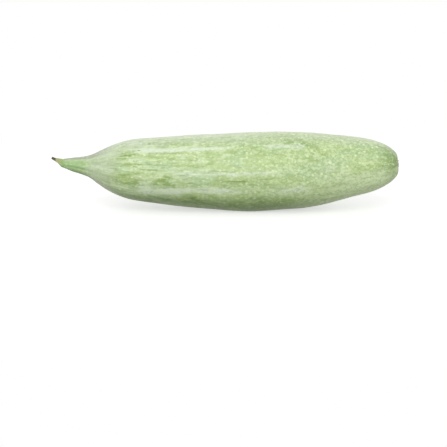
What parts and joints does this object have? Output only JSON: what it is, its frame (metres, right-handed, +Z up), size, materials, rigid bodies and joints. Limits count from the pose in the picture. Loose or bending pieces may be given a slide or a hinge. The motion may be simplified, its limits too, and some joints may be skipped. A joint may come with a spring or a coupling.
{
  "type": "snake gourd",
  "caption": "Short, pale green snake gourd with faint lengthwise streaks, a thin neck with a stub of stalk and a blunt blossom end, lying on its belly.",
  "frame": {"origin": "on the resting surface, below the middle of the gourd's bounding box", "axes": "+X along the gourd from its stalk to its blossom end, +Z up, -Z out of the flat it rests on"},
  "size_m": [0.281, 0.064, 0.0633],
  "materials": {
    "gourd_skin": "satin",
    "dry_stalk": "matte"
  },
  "bodies": {
    "root": {"fruit": "gourd_skin", "stalk": "dry_stalk"}
  },
  "joints": []
}
